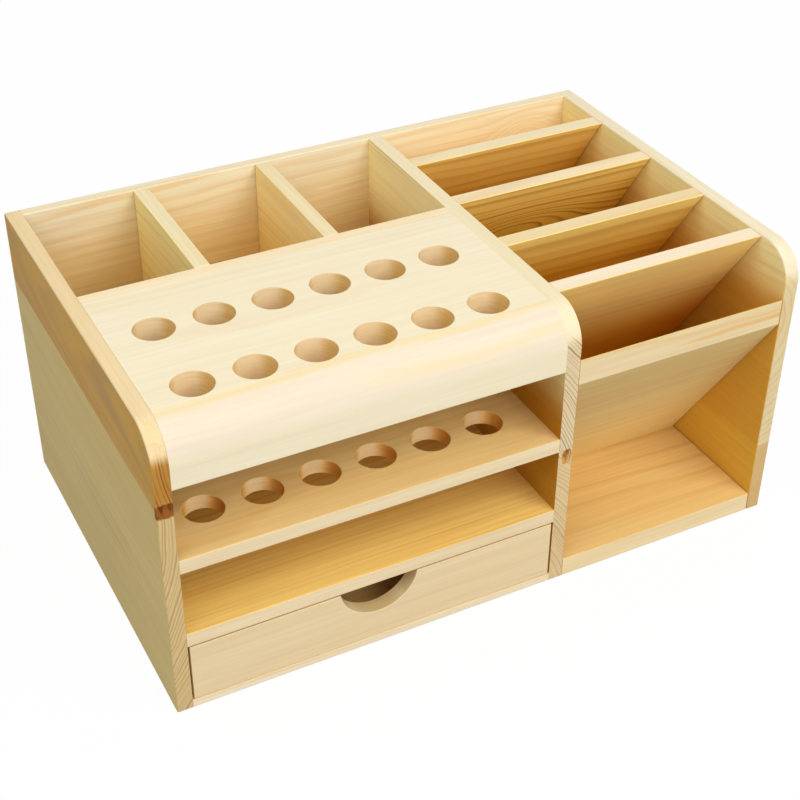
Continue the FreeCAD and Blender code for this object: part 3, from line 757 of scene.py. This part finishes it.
slantedWood = {
    "sloping_front_board": {
        "seed": 16.0, "pith": leanPith(0.16, 0.03), "pitch": 0.002, "taper": 0.01,
        "wobble": 0.0006, "lines": 0.5, "clear": 0.42, "warmth": 0.3,
        "early": (0.72, 0.49, 0.155), "late": (0.42, 0.23, 0.05), "heart": (0.7, 0.42, 0.11),
        "paintedLightWay": (0, -1, 0), "edgeColour": (0.78, 0.63, 0.38), "edgeShare": 0.9, "edgeLines": 0.05,
        # painted bounce light from the bin floor: lighter lower down
        "paintedShadeByHeight": (0.11, 0.03, (1.28, 1.42, 1.6)), "streakColour": (0.74, 0.44, 0.14), "streakWave": 4.0,
        "streaks": [("through", 0.0592, 0.0024, 0.8, 0.005, 0.2, 0.0),
                    ("through", 0.064, 0.0018, 0.55, -0.02, 0.2, 0.03),
                    ("through", 0.066, 0.0018, 0.45, -0.2, -0.02, 0.0)]},
    "slot_divider_1": {
        "seed": 17.0, "pith": leanPith(-0.14, 0.02), "pitch": 0.0075, "taper": 0.02,
        "wobble": 0.0016, "lines": 0.32, "wide": 0.1, "sharp": 0.76, "clear": 0.5, "fibre": 0.06,
        "warmth": 0.6, "early": (0.95, 0.68, 0.25), "late": (0.7, 0.38, 0.06), "heart": (0.92, 0.59, 0.17),
        "edgeColour": (0.85, 0.72, 0.53), "edgeShare": 0.95, "paintedShadeByHeight": (0.146, 0.085, (1.05, 0.66, 0.09))},
    "slot_divider_2": {
        "seed": 18.0, "pith": leanPith(-0.14, 0.015), "pitch": 0.012, "taper": 0.03,
        "wobble": 0.0016, "lines": 0.5, "wide": 0.15, "sharp": 0.76, "clear": 0.25, "fibre": 0.05,
        "warmth": 0.6, "early": (1.0, 0.82, 0.3), "late": (0.66, 0.33, 0.04), "heart": (1.0, 0.72, 0.22),
        "edgeColour": (0.77, 0.6, 0.35), "edgeShare": 0.9, "paintedShadeByHeight": (0.171, 0.115, (1.0, 0.76, 0.13)),
        "streaks": [("across", -0.027, 0.0016, 0.6, 0.0, 0.06, -0.06)]},
    "slot_divider_3": {
        "seed": 19.0, "pith": leanPith(-0.06, 0.05), "pitch": 0.0068, "taper": 0.02,
        "wobble": 0.0012, "lines": 0.92, "wide": 0.42, "sharp": 0.84, "clear": 0.0, "fibre": 0.05,
        "warmth": 0.6,
        "early": (1.0, 0.763, 0.264), "late": (0.52, 0.23, 0.025), "heart": (1.0, 0.67, 0.194),
        "edgeColour": (0.82, 0.67, 0.44), "edgeShare": 0.9, "paintedShadeByHeight": (0.171, 0.12, (1.0, 0.92, 0.44)),
        "swirls": [((0.098, 0.0375, 0.13), (0.04, 0.022, 0.017), -0.03)]},
    "slot_divider_4": {
        "seed": 20.0, "pith": leanPith(-0.1, 0.03), "pitch": 0.011, "taper": 0.04,
        "wobble": 0.003, "lines": 0.6, "wide": 0.22, "sharp": 0.78, "clear": 0.22, "fibre": 0.05,
        "warmth": 0.7,
        "early": (0.99, 0.731, 0.246), "late": (0.66, 0.33, 0.04), "heart": (0.99, 0.644, 0.189),
        "edgeColour": (0.8, 0.68, 0.44), "edgeShare": 0.95, "paintedShadeByHeight": (0.171, 0.125, (1.0, 0.86, 0.5))},
}


def cutBy(polygon, normal, place):
    # keeps the part of a convex polygon where normal . point is at most place
    kept = []
    for here, there in zip(polygon, polygon[1:] + polygon[:1]):
        gapHere = here[0] * normal[0] + here[1] * normal[1] - place
        gapThere = there[0] * normal[0] + there[1] * normal[1] - place
        if gapHere <= onCut:
            kept.append(here)
        if gapHere * gapThere < -crossesCut:
            share = gapHere / (gapHere - gapThere)
            kept.append((here[0] + (there[0] - here[0]) * share, here[1] + (there[1] - here[1]) * share))
    return kept


roomFloor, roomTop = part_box("bin_floor")[1][2], cadBox[1][2]
roomFront, roomBack = cadBox[0][1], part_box("back_panel_lower")[0][1]
# measured level, a board is thickness / cos(lean) deep, and it comes forward by tan(lean) a metre
run, width = math.tan(lean), rack["thickness"] / math.cos(lean)
for node, wood in slantedWood.items():
    low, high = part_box(node)
    # foot: the y where the front face would be at height zero
    if node == "sloping_front_board":
        foot = high[1] - width + roomFloor * run
    else:
        foot = low[1] + roomTop * run
    slab = [(foot, 0.0), (foot + width, 0.0), (foot + width - roomTop * run, roomTop),
            (foot - roomTop * run, roomTop)]
    for normal, place in (((0, -1), -roomFloor), ((1, 0), roomBack), ((-1, 0), -roomFront)):
        slab = cutBy(slab, normal, place)
    corners = []
    for y, z in slab:
        isTip = z > roomTop - onSide or y < roomFront + onSide
        corners.append((y, z, tipSoft if isTip else crisp, tipSoft))
    surface = sweepBoard(polygonOutline(corners), "yzx", low[0], high[0] - joint)
    makePiece(node, surface, wood)

print("stage: drawer front")
drawerFront = {
    "fingerRadius": 22.0 * mm,
    "fingerRise": 3.3 * mm,          # the cut's centre stands above the front's top edge
    "fingerSteps": 40,
    "tipRound": 0.5 * mm,            # the cut's two corners
    "tipTurn": 1.3,                  # the arc ends this many of their radii short of each
    "edge": 0.35 * mm,
    "cornerSteps": (3, 4),           # at the outer corners, and at the cut's
    "backEdge": 0.3,                 # how much of the face edge the back has
    "wood": {"seed": 21.0, "pith": (-0.11, 0.03), "pitch": 0.0026, "taper": 0.01,
             "wobble": 0.0009, "lines": 0.22, "clear": 0.5, "fibre": 0.07,
             "early": (0.8, 0.63, 0.38), "late": (0.6, 0.39, 0.17), "heart": (0.76, 0.55, 0.29),
             # painted shade: the upward surfaces take a darker colour
             "edgeColour": (0.62, 0.44, 0.19), "edgeShare": 0.9, "edgeLines": 1.0},
}
low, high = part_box("drawer_front")
fingerRadius, fingerRise, edge = (drawerFront[key] for key in ("fingerRadius", "fingerRise", "edge"))
tipRound, (few, more) = drawerFront["tipRound"], drawerFront["cornerSteps"]
middle = (low[0] + high[0]) / 2
# Along the top edge the cut is twice the root of (radius squared - rise squared) wide, and its wall
# there stands past square by the angle whose sine is rise / radius.
halfChord = math.sqrt(fingerRadius ** 2 - fingerRise ** 2)
meet = math.asin(fingerRise / fingerRadius)
turnBack = tipRound / fingerRadius * drawerFront["tipTurn"]
leftWall, rightWall = (math.sin(meet), math.cos(meet)), (math.sin(meet), -math.cos(meet))
outline = np.vstack([
    bend((low[2], low[0]), (-1, 0), (0, -1), crisp, edge, edge, few),
    bend((high[2], low[0]), (0, -1), (1, 0), crisp, edge, edge, few),
    bend((high[2], middle - halfChord), (1, 0), leftWall, tipRound, edge, edge, more),
    arcRun((high[2] + fingerRise, middle), fingerRadius, 1.5 * math.pi - meet - turnBack,
           0.5 * math.pi + meet + turnBack, edge, drawerFront["fingerSteps"]),
    bend((high[2], middle + halfChord), rightWall, (1, 0), tipRound, edge, edge, more),
    bend((high[2], high[0]), (1, 0), (0, 1), crisp, edge, edge, few),
    bend((low[2], high[0]), (0, 1), (-1, 0), crisp, edge, edge, few)])
surface = sweepBoard(outline, "zxy", low[1], high[1], 1.0, drawerFront["backEdge"])
makePiece("drawer_front", surface, drawerFront["wood"])

print("stage: boards that keep their node")
drawerTone = {"early": (0.76, 0.5, 0.19), "late": (0.55, 0.28, 0.06), "heart": (0.7, 0.42, 0.13)}
keptBoards = {
    "back_panel_lower": {"seed": 22.0, "pith": (-0.06, 0.03), "pitch": 0.005, "taper": 0.03,
                         "lines": 0.45, "warmth": 0.6, "early": (0.94, 0.74, 0.42)},
    "compartment_wall": {"seed": 23.0, "pith": (0.09, -0.04), "pitch": 0.0036, "taper": 0.02,
                         "lines": 0.3, "clear": 0.6, "warmth": 0.4,
                         "edgeColour": (0.85, 0.7, 0.45), "edgeShare": 0.95},
    "drawer_left_side": {"grain": "y", "seed": 24.0, "pith": (0.04, 0.0), "pitch": 0.0035, **drawerTone},
    "drawer_right_side": {"grain": "y", "seed": 25.0, "pith": (-0.04, 0.01), "pitch": 0.0035, **drawerTone},
    "drawer_back": {"seed": 26.0, "pith": (0.04, 0.01), "pitch": 0.0035, **drawerTone},
    "drawer_bottom": {"seed": 27.0, "pith": (0.01, -0.05), "pitch": 0.005, "taper": 0.08, **drawerTone},
}
for node, wood in keptBoards.items():
    material = pineWood(node, wood)
    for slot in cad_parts[node].material_slots:
        slot.material = material

print("stage: floor, lights and camera")
studio = {
    "floorSize": 8.0,
    "floorBounce": 0.42,             # what the floor gives back to the object
    "floorPaper": 0.85,              # the paper that takes the object's shadow
    "floorWhite": 0.97,              # how far the camera sees the floor as plain white, not as paper
    "worldLevel": 0.40,
    "lampAim": (0.0, 0.0, 0.08),
    "lamps": {                       # place, size and watts of each soft lamp
        "keyLamp": ((0.54, -1.16, 1.28), 1.1, 16.0),
        "leftLamp": ((-0.95, -0.35, 1.45), 1.3, 10.5),
        "backLamp": ((0.55, 0.85, 1.50), 1.1, 3.0),
        "lowLamp": ((-0.30, -1.40, 0.45), 1.0, 4.5),
    },
}


def seenDirectly(graph):
    # 1 for the camera and for what glossy and clear surfaces show
    path = graph.tree.nodes.new("ShaderNodeLightPath")
    seen = graph.math("MAXIMUM", path.outputs["Is Camera Ray"], path.outputs["Is Glossy Ray"])
    return graph.math("MAXIMUM", seen, path.outputs["Is Transmission Ray"])


floorMesh = bpy.data.meshes.new("studio_floor")
half = studio["floorSize"] / 2
corners = [(-half, -half, 0), (half, -half, 0), (half, half, 0), (-half, half, 0)]
floorMesh.from_pydata(corners, [], [(0, 1, 2, 3)])
floor = bpy.data.objects.new("studio_floor", floorMesh)
bpy.context.scene.collection.objects.link(floor)
floorMaterial = bpy.data.materials.new("studio_floor")
floorMaterial.use_nodes = True
graph = NodeGraph(floorMaterial)
graph.tree.nodes.clear()
bounce = graph.add("ShaderNodeBsdfDiffuse", [("Color", [studio["floorBounce"]] * 3)])
paper = graph.add("ShaderNodeBsdfDiffuse", [("Color", [studio["floorPaper"]] * 3)])
white = graph.add("ShaderNodeEmission", [("Color", (1, 1, 1)), ("Strength", 1.0)])
shown = graph.add("ShaderNodeMixShader", [(0, studio["floorWhite"]), (1, paper), (2, white)])
both = graph.add("ShaderNodeMixShader", [(0, seenDirectly(graph)), (1, bounce), (2, shown)])
graph.put(graph.tree.nodes.new("ShaderNodeOutputMaterial").inputs["Surface"], both)
floorMesh.materials.append(floorMaterial)

world = bpy.data.worlds.new("studio")
bpy.context.scene.world = world
world.use_nodes = True
graph = NodeGraph(world)
graph.tree.nodes.clear()
strength = graph.lift(seenDirectly(graph), 1.0 - studio["worldLevel"], studio["worldLevel"])
sky = graph.add("ShaderNodeBackground", [("Color", (1, 1, 1)), ("Strength", strength)])
graph.put(graph.tree.nodes.new("ShaderNodeOutputWorld").inputs["Surface"], sky)

for name, (spot, size, watts) in studio["lamps"].items():
    light = bpy.data.lights.new(name, "AREA")
    light.shape, light.size, light.energy = "SQUARE", size, watts
    lamp = bpy.data.objects.new(name, light)
    lamp.location = spot
    lamp.rotation_euler = (Vector(studio["lampAim"]) - lamp.location).to_track_quat("-Z", "Y").to_euler()
    bpy.context.scene.collection.objects.link(lamp)

photoView = {
    "place": (-0.32993, -0.63746, 0.57317),
    "forward": (0.37673, 0.72138, -0.58111),
    "right": (0.88863, -0.45856, 0.00684),
    "lens": 69.07,                   # millimetres, as is the sensor's width
    "sensor": 36.0,
    "nearest": 0.01,
    "farthest": 50.0,
}
lens = bpy.data.cameras.new("photo_camera")
lens.lens, lens.sensor_width = photoView["lens"], photoView["sensor"]
lens.clip_start, lens.clip_end = photoView["nearest"], photoView["farthest"]
camera = bpy.data.objects.new("photo_camera", lens)
ahead = Vector(photoView["forward"]).normalized()
right = Vector(photoView["right"]).normalized()
turned = Matrix((right, right.cross(ahead), -ahead)).transposed().to_4x4()
turned.translation = Vector(photoView["place"])
camera.matrix_world = turned
bpy.context.scene.collection.objects.link(camera)
bpy.context.scene.camera = camera
bpy.context.scene.view_settings.view_transform = "Standard"

print("stage: done")
